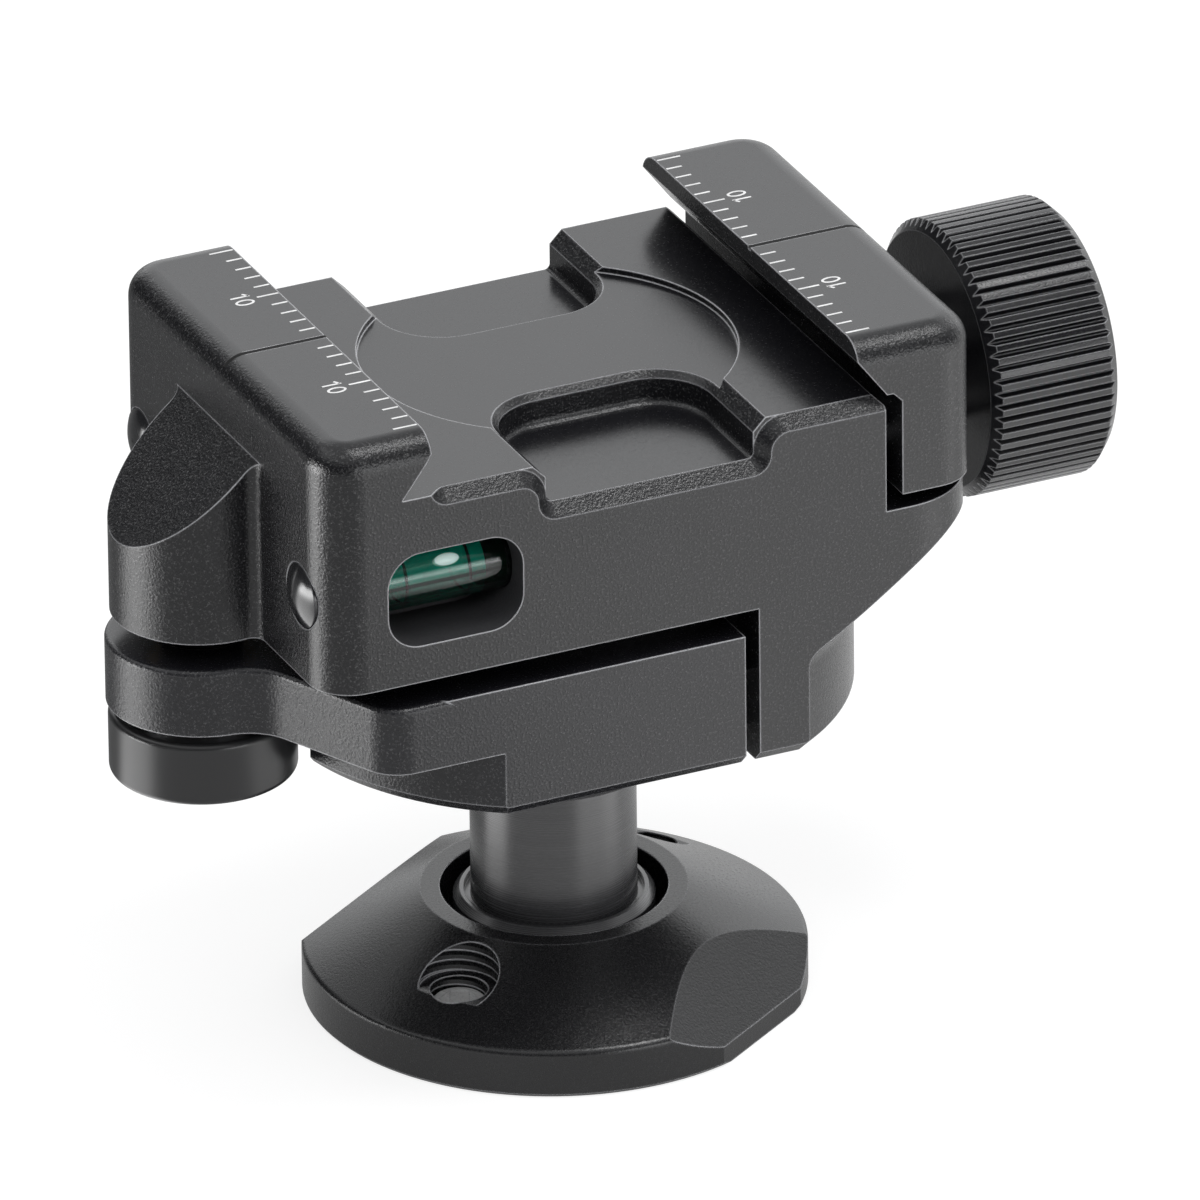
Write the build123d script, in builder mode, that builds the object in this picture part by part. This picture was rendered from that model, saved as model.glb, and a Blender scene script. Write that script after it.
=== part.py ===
from build123d import *
from math import radians, sqrt, tan
import os

# Inverted ball head: a ball on a stem, gripped by a split head that carries a
# dovetail clamp for camera plates. Millimetres, +Z up, origin at the middle of
# the base's resting face. X runs along the clamp screw, with its knob at +X,
# and Y runs along the dovetail.

os.makedirs("parts", exist_ok=True)

# clearances
press_gap = 0.02  # pressed or glued seats, on the radius
running_gap = 0.05  # bores and faces that turn on each other
seat_gap = 0.12  # ball to its plastic seat
ball_gap = 0.25  # ball to the metal around it
screw_gap = 0.3  # screws in the holes that they only pass through

# base plate
base_radius = 18.5
base_rim = 3.6  # upright part of the rim
rim_round = 0.5
lip_radius = 9.8  # the cone's upper edge
lip_height = 8.0
well_radius = 8.35  # well around the collar
well_floor = 3.6
flat_distance = 17.7  # wrench flats, from the axis
flat_height = 1.6  # upright part of a flat, under its 45 degree face
base_turn = 33.75  # degrees from the head's X axis to the set screws
set_screw_circle = 13.3  # radius that the set screws stand on
set_screw_radius = 2.1
set_screw_length = 4.1
set_screw_edge = 0.3
set_screw_foot = 0.4
set_screw_hex = 2.5  # across flats
set_screw_socket = 2.0
set_screw_mouth = 2.95
mouth_height = 5.3

# tripod bush, pressed into the base
bush_radius = 5.6
bush_height = 6.6
bush_flange = 7.2
bush_flange_height = 2.0
tripod_thread = 4.0  # core radius of the 3/8 inch thread
bush_mouth = 0.4
clip_height = 5.0  # snap ring between the bush and the collar
clip_thick = 0.6
clip_bite = 0.35
clip_split = 1.6

# stem and ball
ball_radius = 15.0
ball_height = 31.5
stem_radius = 6.1
collar_radius = 7.4
collar_top = 7.9
collar_chamfer = 0.5
collar_groove = 6.6
collar_groove_depth = 0.5

# head
half_depth = 18.4  # along Y
head_left = -26.0
floor_over_ball = 5.0  # metal between the ball and the clamp's floor
jaw_rise = 4.6  # height of the jaws over the floor
floor_top = ball_height + ball_radius + floor_over_ball
head_top = floor_top + jaw_rise
split_rise = 5.3
split_top = ball_height + split_rise  # underside of the head, over the arm
wall_right = 18.3  # right end of the floor
head_corner = 3.2
top_round = 2.1
tip_left = -17.5
tip_land = 1.4
flank_run = 2.4  # dovetail flank, from the tip to the floor
ledge_right = 26.8
ledge_drop = 9.1
ledge_top = floor_top - ledge_drop
ledge_corner = 6.5
grip_radius = 22.0  # barrel around the ball
grip_drop = 7.2
grip_bottom = ball_height - grip_drop
grip_chamfer = 1.0
grip_flat_chamfer = 0.9  # where the barrel is cut flat at the front and back
cone_rise = 0.5
cone_bottom = ball_height + cone_rise  # 45 degree cone from the barrel out to the ledge
cone_blend = 2.0
floor_chamfer = 1.0
floor_chamfer_start = -16.7
wall_chamfer = 0.7

# recess and pockets in the clamp's floor
recess_radius = 13.8
recess_depth = 0.5
pocket_half = 8.2
pocket_start = 5.8
pocket_depth = 3.0
pocket_floor = floor_top - pocket_depth
pocket_corner = 4.5
pocket_foot = 0.45

# seat above the ball
seat_radius = 10.2
seat_hole = 6.0
seat_drop = 0.3  # from the ball's top to the seat's
seat_top = ball_height + ball_radius - seat_drop

# boss over the lock screw
boss_x = -27.7
boss_radius = 6.6
boss_drop = 8.1
boss_low = floor_top - boss_drop  # sloping top: height at its outer edge
boss_slope = 42.0
boss_blend = 0.9

# clamp arm
arm_rise = 3.3
arm_thick = 5.2
arm_top = ball_height + arm_rise
arm_bottom = arm_top - arm_thick
arm_right = 7.0
arm_shoulder = -21.1
arm_neck_x = -26.9
arm_neck_y = 6.0
arm_boss_radius = 7.0
arm_corner = 3.0
arm_blend = 4.0
arm_edge = 0.4
slit = 1.1

# hinge of the arm, inside the barrel's leg
hinge_x = 11.5
hinge_drop = 1.1
hinge_height = arm_bottom - hinge_drop
hinge_pin_radius = 1.25
hinge_pin_length = 5.4
hinge_pin_depth = 1.4  # its outer end, from the front or back face
hinge_pin_end = half_depth - hinge_pin_depth
hinge_pin_start = hinge_pin_end - hinge_pin_length
tongue_radius = 2.2
tongue_thick = 2.3
tongue_depth = 2.5
tongue_end = half_depth - tongue_depth
tongue_start = tongue_end - tongue_thick
tongue_gap = 0.2

# lock screw
lock_head_radius = 6.85
lock_head_height = 4.9
lock_head_edge = 0.5
lock_head_room = 1.1  # hollow in the barrel beside the head
lock_shank_radius = 3.0
lock_shank_drop = 7.5
lock_shank_top = floor_top - lock_shank_drop
lock_hex = 5.0
lock_socket = 2.8
lock_washer_radius = 4.9
lock_washer_thick = 0.7
lock_bush_radius = 4.2
lock_bush_rise = 0.4
lock_bush_start = split_top + lock_bush_rise
lock_bush_length = 6.0
lock_bore_room = 1.0
lock_bore_top = lock_shank_top + lock_bore_room

# spirit level
vial_depth = 4.4
vial_drop = 8.1
vial_y = vial_depth - half_depth
vial_z = floor_top - vial_drop
vial_radius = 2.45
vial_wall = 0.4
vial_left = -21.8
vial_right = -10.2
vial_end = 0.6  # thickness of its ends
vial_round = 0.45
window_x = -15.8
window_length = 10.6
window_height = 7.4
window_corner = 2.6
window_depth = 5.6
plug_radius = 2.4
plug_depth = 3.6
plug_dome = 0.7

# moving jaw
tip_right = 16.15
jaw_leg = 19.6
jaw_right = 25.9
jaw_lift = 0.2  # clearance over the head's floor
jaw_drop = 8.0
jaw_bottom = floor_top - jaw_drop
lug_half = 5.5
lug_height = 4.6
lug_bottom = jaw_bottom - lug_height
lug_gap = 0.15
centre_groove = 0.4  # centre mark across both jaws
centre_groove_depth = 0.25

# clamp screw and knob
screw_drop = 7.6
screw_z = floor_top - screw_drop
screw_radius = 2.5
screw_tip = 13.3
screw_edge = 0.4
screw_head_radius = 4.4
screw_head_length = 4.2
screw_hex = 4.0
screw_socket = 2.4
clamp_bush_radius = 3.6
clamp_bush_start = 12.9
clamp_bush_end = 18.1
screw_bore_end = 11.9
knob_radius = 10.35
knob_left = 30.9
knob_right = 41.1
knob_left_edge = 9.55
knob_edge = 0.8
knob_face = 0.65  # run of the chamfer beside the jaw
knob_dish_radius = 7.4
knob_dish = 0.5
hub_radius = 4.8
hub_bore_gap = 0.03
knob_washer_thick = 1.0
knurl_count = 66
knurl_depth = 0.55
knurl_half = 0.4  # half width of a groove, measured just outside the knob
knurl_reach = 0.15
circlip_radius = 3.6
circlip_thick = 0.6
circlip_room = 0.35

# guide pins and springs of the jaw
guide_inset = 6.9
guide_drop = 5.9
guide_y = half_depth - guide_inset
guide_z = floor_top - guide_drop
guide_radius = 1.25
guide_edge = 0.25
guide_tip = 9.9
guide_bore_end = 8.5
guide_seat = 2.1
spring_pocket = 2.4
spring_pocket_end = 13.3
spring_wire = 0.3
spring_mean = 1.85
spring_turns = 5


def finish(part, name):
    part.label = name
    export_step(part, f"parts/{name}.step")


def upright(x):
    """Edges parallel to Z that stand at this X."""
    return lambda edge: abs(edge.center().X - x) < 0.01 and abs(edge.tangent_at(0.5).Z) > 0.999


def at_height(z):
    return lambda shape: abs(shape.center().Z - z) < 0.01


def coil(centre, length, mean, wire, turns):
    """A helical spring along +X, from the given middle of its first turn."""
    path = Helix(pitch=length / turns, height=length, radius=mean, center=centre, direction=(1, 0, 0))
    with BuildPart() as spring:
        with BuildSketch(Plane(path @ 0, z_dir=path % 0)):
            Circle(wire)
        sweep(path=path)
    return spring.part


ball_centre = (0, 0, ball_height)
base_axes = Plane.XY.rotated((0, 0, base_turn))
set_screw_spots = [(set_screw_circle, 0), (-set_screw_circle, 0)]
slit_right = arm_right + slit
flank_drop = jaw_rise - tip_land
level_wall = Plane(origin=(head_left, 0, 0), x_dir=(0, -1, 0), z_dir=(-1, 0, 0))

# ---- base plate
with BuildPart() as base_plate:
    with BuildSketch(Plane.XZ):
        with BuildLine():
            Polyline(
                (bush_flange + press_gap, 0),
                (base_radius, 0),
                (base_radius, base_rim),
                (lip_radius, lip_height),
                (well_radius, lip_height),
                (well_radius, well_floor),
                (bush_radius + press_gap, well_floor),
                (bush_radius + press_gap, bush_flange_height),
                (bush_flange + press_gap, bush_flange_height),
                close=True,
            )
        make_face()
    revolve(axis=Axis.Z)
    rim = base_plate.edges().filter_by(GeomType.CIRCLE).filter_by(at_height(base_rim))
    fillet(rim.sort_by(SortBy.RADIUS)[-1], rim_round)
    foot_edges = base_plate.edges().filter_by(GeomType.CIRCLE).filter_by(at_height(0))
    chamfer(foot_edges.sort_by(SortBy.RADIUS)[-1], rim_round / 2)
    with BuildSketch(Plane(origin=(0, 0, 0), x_dir=base_axes.y_dir, z_dir=base_axes.x_dir)):
        with BuildLine():
            Polyline(
                (flat_distance, -base_rim),
                (flat_distance, flat_height),
                (flat_distance - lip_height, flat_height + lip_height),
                (flat_distance + base_radius, flat_height + lip_height),
                (flat_distance + base_radius, -base_rim),
                close=True,
            )
        make_face()
        mirror(about=Plane.YZ)
    extrude(amount=base_radius, both=True, mode=Mode.SUBTRACT)
    with BuildSketch(base_axes):
        with Locations(*set_screw_spots):
            Circle(set_screw_radius + press_gap)
    extrude(amount=lip_height, mode=Mode.SUBTRACT)
    with BuildSketch(base_axes.offset(mouth_height)):
        with Locations(*set_screw_spots):
            Circle(set_screw_mouth)
    extrude(amount=lip_height, mode=Mode.SUBTRACT)
finish(base_plate.part, "base_plate")

with BuildPart() as base_set_screws:
    with BuildSketch(base_axes.offset(set_screw_foot)):
        with Locations(*set_screw_spots):
            Circle(set_screw_radius)
    extrude(amount=set_screw_length)
    chamfer(base_set_screws.edges().group_by(Axis.Z)[-1], set_screw_edge)
    with BuildSketch(base_axes.offset(set_screw_foot + set_screw_length)):
        with Locations(*set_screw_spots):
            RegularPolygon(set_screw_hex / 2, 6, major_radius=False)
    extrude(amount=-set_screw_socket, mode=Mode.SUBTRACT)
finish(base_set_screws.part, "base_set_screws")

# ---- tripod bush and the snap ring that holds the stem down on it
clip_low = clip_height - clip_thick / 2
clip_high = clip_height + clip_thick / 2
with BuildPart() as tripod_bush:
    with BuildSketch(Plane.XZ):
        with BuildLine():
            Polyline(
                (tripod_thread + bush_mouth, 0),
                (bush_flange, 0),
                (bush_flange, bush_flange_height),
                (bush_radius, bush_flange_height),
                (bush_radius, clip_low - running_gap),
                (bush_radius - clip_bite, clip_low - running_gap),
                (bush_radius - clip_bite, clip_high + running_gap),
                (bush_radius, clip_high + running_gap),
                (bush_radius, bush_height),
                (tripod_thread, bush_height),
                (tripod_thread, bush_mouth),
                close=True,
            )
        make_face()
    revolve(axis=Axis.Z)
finish(tripod_bush.part, "tripod_bush")

collar_bore = bush_radius + running_gap
with BuildPart() as snap_ring:
    with BuildSketch(Plane.XY.offset(clip_low)):
        Circle(collar_bore + clip_bite - running_gap)
        Circle(bush_radius - clip_bite + running_gap, mode=Mode.SUBTRACT)
        with Locations((bush_radius, 0)):
            Rectangle(bush_radius, clip_split, mode=Mode.SUBTRACT)
    extrude(amount=clip_thick)
finish(snap_ring.part, "snap_ring")

# ---- ball, stem and collar, turned from one bar
with BuildPart() as ball_stem:
    neck_height = ball_height - sqrt(ball_radius**2 - stem_radius**2)
    with BuildSketch(Plane.XZ):
        with BuildLine():
            Polyline(
                (0, ball_height + ball_radius),
                (0, bush_height + running_gap),
                (collar_bore, bush_height + running_gap),
                (collar_bore, clip_high + running_gap),
                (collar_bore + clip_bite, clip_high + running_gap),
                (collar_bore + clip_bite, clip_low - running_gap),
                (collar_bore, clip_low - running_gap),
                (collar_bore, well_floor + running_gap),
                (collar_radius, well_floor + running_gap),
                (collar_radius, collar_top - collar_chamfer),
                (collar_radius - collar_chamfer, collar_top),
                (collar_groove, collar_top),
                (collar_groove, collar_top - collar_groove_depth),
                (stem_radius, collar_top - collar_groove_depth),
                (stem_radius, neck_height),
            )
            ThreePointArc(
                (stem_radius, neck_height),
                (ball_radius, ball_height),
                (0, ball_height + ball_radius),
            )
        make_face()
    revolve(axis=Axis.Z)
finish(ball_stem.part, "ball_stem")

with BuildPart() as ball_seat:
    cup_radius = ball_radius + seat_gap
    hole_height = ball_height + sqrt(cup_radius**2 - seat_hole**2)
    edge_height = ball_height + sqrt(cup_radius**2 - seat_radius**2)
    half_reach = (seat_hole + seat_radius) / 2
    with BuildSketch(Plane.XZ):
        with BuildLine():
            Polyline(
                (seat_radius, edge_height),
                (seat_radius, seat_top),
                (seat_hole, seat_top),
                (seat_hole, hole_height),
            )
            ThreePointArc(
                (seat_hole, hole_height),
                (half_reach, ball_height + sqrt(cup_radius**2 - half_reach**2)),
                (seat_radius, edge_height),
            )
        make_face()
    revolve(axis=Axis.Z)
finish(ball_seat.part, "ball_seat")

# ---- the turned barrel with its cone and ledge, before it is split in two
cone_reach = ledge_top - cone_bottom
with BuildPart() as grip:
    with BuildSketch(Plane.XZ) as grip_profile:
        with BuildLine():
            Polyline(
                (0, grip_bottom),
                (grip_radius - grip_chamfer, grip_bottom),
                (grip_radius, grip_bottom + grip_chamfer),
                (grip_radius, cone_bottom),
                (grip_radius + cone_reach, ledge_top),
                (0, ledge_top),
                close=True,
            )
        make_face()
        cone_foot = grip_profile.vertices().sort_by_distance((grip_radius, cone_bottom))[0]
        fillet(cone_foot, cone_blend)
    revolve(axis=Axis.Z)
    with BuildSketch(Plane.XY.offset(grip_bottom)) as grip_outline:
        with Locations(((ledge_right - grip_radius) / 2, 0)):
            Rectangle(ledge_right + grip_radius, 2 * half_depth)
        fillet(grip_outline.vertices().group_by(Axis.X)[-1], ledge_corner)
    extrude(amount=ledge_top - grip_bottom, mode=Mode.INTERSECT)
    flat_edges = grip.edges().filter_by(lambda edge: abs(abs(edge.center().Y) - half_depth) < 0.01)
    chamfer(flat_edges.filter_by(Axis.X).group_by(Axis.Z)[0], grip_flat_chamfer)

# ---- boss over the lock screw, with a sloping top
with BuildPart() as boss:
    rise = tan(radians(boss_slope))
    boss_left = boss_x - boss_radius
    with BuildSketch(Plane.XY.offset(split_top)):
        with Locations((boss_x, 0)):
            Circle(boss_radius)
    extrude(amount=head_top - split_top)
    with BuildSketch(Plane.XZ):
        with BuildLine():
            Polyline(
                (boss_left, split_top),
                (boss_left, boss_low),
                (head_left, boss_low + rise * (head_left - boss_left)),
                (boss_x + boss_radius, boss_low + rise * (head_left - boss_left)),
                (boss_x + boss_radius, split_top),
                close=True,
            )
        make_face()
    extrude(amount=boss_radius, both=True, mode=Mode.INTERSECT)

# ---- head with the fixed jaw
with BuildPart() as head_body:
    with BuildSketch(Plane.XY.offset(split_top)):
        with Locations(((head_left + wall_right) / 2, 0)):
            Rectangle(wall_right - head_left, 2 * half_depth)
    extrude(amount=head_top - split_top)
    fillet(head_body.edges().filter_by(upright(head_left)), head_corner)
    top_edges = head_body.faces().sort_by(Axis.Z)[-1].edges()
    fillet(top_edges.filter_by(lambda edge: edge.center().X < wall_right - 0.01), top_round)
    with BuildSketch(Plane.XZ):
        with BuildLine():
            Polyline(
                (tip_left, head_top + top_round),
                (tip_left, head_top - tip_land),
                (tip_left - flank_run, floor_top),
                (wall_right + top_round, floor_top),
                (wall_right + top_round, head_top + top_round),
                close=True,
            )
        make_face()
    extrude(amount=half_depth + top_round, both=True, mode=Mode.SUBTRACT)
    wall_edge = head_body.edges().filter_by(Axis.Y).filter_by(at_height(floor_top)).sort_by(Axis.X)[-1]
    chamfer(wall_edge, wall_chamfer)
    add(boss.part)
    boss_seams = head_body.edges().filter_by(upright(head_left))
    fillet(boss_seams.filter_by(lambda edge: abs(edge.center().Y) < boss_radius), boss_blend)
    add(grip.part)
    # the arm's space
    with BuildSketch(Plane.XZ):
        with BuildLine():
            Polyline(
                (-2 * grip_radius, grip_bottom),
                (slit_right, grip_bottom),
                (slit_right, split_top),
                (-2 * grip_radius, split_top),
                close=True,
            )
        make_face()
    extrude(amount=2 * half_depth, both=True, mode=Mode.SUBTRACT)
    # recess and pockets
    with BuildSketch(Plane.XY.offset(floor_top)):
        Circle(recess_radius)
    extrude(amount=-recess_depth, mode=Mode.SUBTRACT)
    pocket_run = half_depth - pocket_start + 2 * pocket_corner
    with BuildSketch(Plane.XY.offset(pocket_floor)):
        with Locations((0, pocket_start + pocket_run / 2), (0, -pocket_start - pocket_run / 2)):
            RectangleRounded(2 * pocket_half, pocket_run, pocket_corner)
    extrude(amount=floor_top - pocket_floor, mode=Mode.SUBTRACT)
    pocket_faces = head_body.faces().filter_by(Plane.XY).filter_by(at_height(pocket_floor))
    pocket_edges = pocket_faces.edges().filter_by(lambda edge: abs(edge.center().Y) < half_depth - 0.01)
    fillet(pocket_edges, pocket_foot)
    # chamfers round the pockets and along the floor's open ends
    with BuildSketch(Plane.XY.offset(floor_top)):
        with Locations((0, pocket_start + pocket_run / 2), (0, -pocket_start - pocket_run / 2)):
            rim_length = pocket_run + 2 * floor_chamfer
            RectangleRounded(2 * (pocket_half + floor_chamfer), rim_length, pocket_corner + floor_chamfer)
    extrude(amount=-floor_chamfer, taper=45, mode=Mode.SUBTRACT)
    for side in (1, -1):
        with BuildSketch(Plane.XZ.offset(side * half_depth)) as open_end:
            with BuildLine():
                Polyline(
                    (floor_chamfer_start - floor_chamfer, floor_top + jaw_rise / 2),
                    (floor_chamfer_start - floor_chamfer, floor_top - floor_chamfer),
                    (-pocket_half - floor_chamfer, floor_top - floor_chamfer),
                    (-pocket_half - floor_chamfer, pocket_floor - floor_chamfer),
                    (pocket_half + floor_chamfer, pocket_floor - floor_chamfer),
                    (pocket_half + floor_chamfer, floor_top - floor_chamfer),
                    (wall_right + jaw_rise, floor_top - floor_chamfer),
                    (wall_right + jaw_rise, floor_top + jaw_rise / 2),
                    close=True,
                )
            make_face()
            run_out = open_end.vertices().group_by(Axis.X)[0].sort_by(Axis.Z)[0]
            foot_corners = open_end.vertices().group_by(Axis.Z)[0]
            fillet([run_out, *foot_corners], pocket_foot + floor_chamfer)
        extrude(amount=-side * floor_chamfer, taper=45, mode=Mode.SUBTRACT)
    # ball, seat and the slot for the jaw's lug
    with Locations(ball_centre):
        Sphere(ball_radius + ball_gap, mode=Mode.SUBTRACT)
    with BuildSketch(Plane.XY.offset(ball_height)):
        Circle(seat_radius + press_gap)
    extrude(amount=seat_top + press_gap - ball_height, mode=Mode.SUBTRACT)
    with BuildSketch(Plane.YZ.offset(wall_right)):
        with Locations((0, (lug_bottom - lug_gap + ledge_top) / 2)):
            Rectangle(2 * (lug_half + lug_gap), ledge_top - lug_bottom + lug_gap)
    extrude(amount=ledge_right - wall_right, mode=Mode.SUBTRACT)
    # clamp screw's bush, and the guide pins with their springs
    with BuildSketch(Plane.YZ.offset(screw_bore_end)):
        with Locations((0, screw_z)):
            Circle(screw_radius + screw_gap)
    extrude(amount=wall_right - screw_bore_end, mode=Mode.SUBTRACT)
    with BuildSketch(Plane.YZ.offset(clamp_bush_start)):
        with Locations((0, screw_z)):
            Circle(clamp_bush_radius + press_gap)
    extrude(amount=wall_right - clamp_bush_start, mode=Mode.SUBTRACT)
    with BuildSketch(Plane.YZ.offset(guide_bore_end)):
        with Locations((guide_y, guide_z), (-guide_y, guide_z)):
            Circle(guide_radius + running_gap)
    extrude(amount=wall_right - guide_bore_end, mode=Mode.SUBTRACT)
    with BuildSketch(Plane.YZ.offset(spring_pocket_end)):
        with Locations((guide_y, guide_z), (-guide_y, guide_z)):
            Circle(spring_pocket)
    extrude(amount=wall_right - spring_pocket_end, mode=Mode.SUBTRACT)
    # lock screw's bush
    with BuildSketch(Plane.XY.offset(split_top)):
        with Locations((boss_x, 0)):
            Circle(lock_bush_radius + press_gap)
    extrude(amount=lock_bush_start + lock_bush_length - split_top, mode=Mode.SUBTRACT)
    with BuildSketch(Plane.XY.offset(split_top)):
        with Locations((boss_x, 0)):
            Circle(lock_shank_radius + screw_gap)
    extrude(amount=lock_bore_top - split_top, mode=Mode.SUBTRACT)
    # window and bores of the spirit level
    with BuildSketch(Plane.XZ.offset(half_depth)):
        with Locations((window_x, vial_z)):
            RectangleRounded(window_length, window_height, window_corner)
    extrude(amount=-window_depth, mode=Mode.SUBTRACT)
    with BuildSketch(level_wall):
        with Locations((-vial_y, vial_z)):
            Circle(vial_radius + press_gap)
    extrude(amount=head_left - vial_right - press_gap, mode=Mode.SUBTRACT)
    with BuildSketch(level_wall):
        with Locations((vial_y, vial_z)):
            Circle(vial_radius + press_gap)
    extrude(amount=-plug_depth, mode=Mode.SUBTRACT)
    # pockets for the arm's tongues, and the holes of the hinge pins
    for side in (1, -1):
        with BuildSketch(Plane.XZ.offset(side * (tongue_start - tongue_gap))):
            with Locations((hinge_x, hinge_height)):
                Circle(tongue_radius + tongue_gap)
            with Locations(((slit_right + hinge_x) / 2, hinge_height)):
                Rectangle(hinge_x - slit_right, 2 * (tongue_radius + tongue_gap))
        extrude(amount=side * (tongue_end - tongue_start + 2 * tongue_gap), mode=Mode.SUBTRACT)
    with BuildSketch(Plane.XZ.offset(hinge_pin_end)):
        with Locations((hinge_x, hinge_height)):
            Circle(hinge_pin_radius + press_gap)
    extrude(amount=-2 * hinge_pin_end, mode=Mode.SUBTRACT)
    # centre mark
    with BuildSketch(Plane.YZ.offset(head_left + top_round)):
        with Locations((0, head_top)):
            Rectangle(centre_groove, 2 * centre_groove_depth)
    extrude(amount=tip_left - head_left, mode=Mode.SUBTRACT)
finish(head_body.part, "head_body")

# ---- clamp arm
with BuildPart() as clamp_arm:
    with BuildSketch(Plane.XY.offset(arm_bottom)) as arm_outline:
        with BuildLine():
            Polyline(
                (arm_right, -half_depth),
                (arm_shoulder, -half_depth),
                (arm_neck_x, -arm_neck_y),
                (arm_neck_x, arm_neck_y),
                (arm_shoulder, half_depth),
                (arm_right, half_depth),
                close=True,
            )
        make_face()
        shoulders = arm_outline.vertices().filter_by(lambda point: abs(point.X - arm_shoulder) < 0.01)
        fillet(shoulders, arm_corner)
        with Locations((boss_x, 0)):
            Circle(arm_boss_radius)
        fillet(arm_outline.vertices().sort_by(Axis.X)[0:2], arm_blend)
    extrude(amount=arm_top - arm_bottom)
    top_edges = clamp_arm.faces().sort_by(Axis.Z)[-1].edges()
    fillet(top_edges.filter_by(lambda edge: edge.center().X < arm_right - 0.01), arm_edge)
    add(grip.part)
    with BuildSketch(Plane.XZ):
        with BuildLine():
            Polyline(
                (-2 * grip_radius, grip_bottom),
                (arm_right, grip_bottom),
                (arm_right, arm_top),
                (-2 * grip_radius, arm_top),
                close=True,
            )
        make_face()
    extrude(amount=2 * half_depth, both=True, mode=Mode.INTERSECT)
    with BuildSketch(Plane.XY.offset(grip_bottom)):
        with Locations((boss_x, 0)):
            Circle(lock_head_radius + lock_head_room)
    extrude(amount=arm_bottom - grip_bottom, mode=Mode.SUBTRACT)
    # tongues of the hinge
    for side in (1, -1):
        with BuildSketch(Plane.XZ.offset(side * tongue_start)):
            with Locations((hinge_x, hinge_height)):
                Circle(tongue_radius)
            with Locations(((arm_right - slit + hinge_x) / 2, hinge_height)):
                Rectangle(hinge_x - arm_right + slit, 2 * tongue_radius)
        extrude(amount=side * (tongue_end - tongue_start))
    with BuildSketch(Plane.XZ.offset(half_depth)):
        with Locations((hinge_x, hinge_height)):
            Circle(hinge_pin_radius + running_gap)
    extrude(amount=-2 * half_depth, mode=Mode.SUBTRACT)
    # ball and lock screw
    with Locations(ball_centre):
        Sphere(ball_radius + ball_gap, mode=Mode.SUBTRACT)
    with BuildSketch(Plane.XY.offset(arm_bottom)):
        with Locations((boss_x, 0)):
            Circle(lock_shank_radius + screw_gap)
    extrude(amount=arm_top - arm_bottom, mode=Mode.SUBTRACT)
finish(clamp_arm.part, "clamp_arm")

with BuildPart() as hinge_pins:
    for side in (1, -1):
        with BuildSketch(Plane.XZ.offset(side * hinge_pin_start)):
            with Locations((hinge_x, hinge_height)):
                Circle(hinge_pin_radius)
        extrude(amount=side * (hinge_pin_end - hinge_pin_start - running_gap))
finish(hinge_pins.part, "hinge_pins")

# ---- lock screw, its washer and the threaded bush in the boss
lock_washer_top = arm_bottom - running_gap
lock_head_top = lock_washer_top - lock_washer_thick - running_gap
lock_head_bottom = lock_head_top - lock_head_height
with BuildPart() as lock_screw:
    with BuildSketch(Plane.XY.offset(lock_head_bottom)):
        with Locations((boss_x, 0)):
            Circle(lock_head_radius)
    extrude(amount=lock_head_height)
    fillet(lock_screw.edges().filter_by(GeomType.CIRCLE), lock_head_edge)
    with BuildSketch(Plane.XY.offset(lock_head_top)):
        with Locations((boss_x, 0)):
            Circle(lock_shank_radius)
    extrude(amount=lock_shank_top - lock_head_top)
    chamfer(lock_screw.edges().group_by(Axis.Z)[-1], lock_head_edge)
    with BuildSketch(Plane.XY.offset(lock_head_bottom)):
        with Locations((boss_x, 0)):
            RegularPolygon(lock_hex / 2, 6, major_radius=False)
    extrude(amount=lock_socket, mode=Mode.SUBTRACT)
finish(lock_screw.part, "lock_screw")

with BuildPart() as lock_washer:
    with BuildSketch(Plane.XY.offset(lock_washer_top - lock_washer_thick)):
        with Locations((boss_x, 0)):
            Circle(lock_washer_radius)
            Circle(lock_shank_radius + running_gap, mode=Mode.SUBTRACT)
    extrude(amount=lock_washer_thick)
finish(lock_washer.part, "lock_washer")

with BuildPart() as lock_bush:
    with BuildSketch(Plane.XY.offset(lock_bush_start)):
        with Locations((boss_x, 0)):
            Circle(lock_bush_radius)
            Circle(lock_shank_radius + screw_gap, mode=Mode.SUBTRACT)
    extrude(amount=lock_bush_length - press_gap)
finish(lock_bush.part, "lock_bush")

# ---- spirit level and the plugs of its two bores
vial_length = vial_right - vial_left
vial_plane = Plane.YZ.offset(vial_left)
with BuildPart() as vial_liquid:
    with BuildSketch(vial_plane.offset(vial_end)):
        with Locations((vial_y, vial_z)):
            Circle(vial_radius - vial_wall)
    extrude(amount=vial_length - 2 * vial_end)
finish(vial_liquid.part, "vial_liquid")

with BuildPart() as vial_tube:
    with BuildSketch(vial_plane):
        with Locations((vial_y, vial_z)):
            Circle(vial_radius)
    extrude(amount=vial_length)
    fillet(vial_tube.edges().filter_by(GeomType.CIRCLE), vial_round)
    with BuildSketch(vial_plane.offset(vial_end)):
        with Locations((vial_y, vial_z)):
            Circle(vial_radius - vial_wall)
    extrude(amount=vial_length - vial_end, mode=Mode.SUBTRACT)
finish(vial_tube.part, "vial_tube")

with BuildPart() as vial_cap:
    with BuildSketch(Plane.YZ.offset(vial_right - vial_end)):
        with Locations((vial_y, vial_z)):
            Circle(vial_radius - vial_wall)
    extrude(amount=vial_end)
finish(vial_cap.part, "vial_cap")

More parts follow.
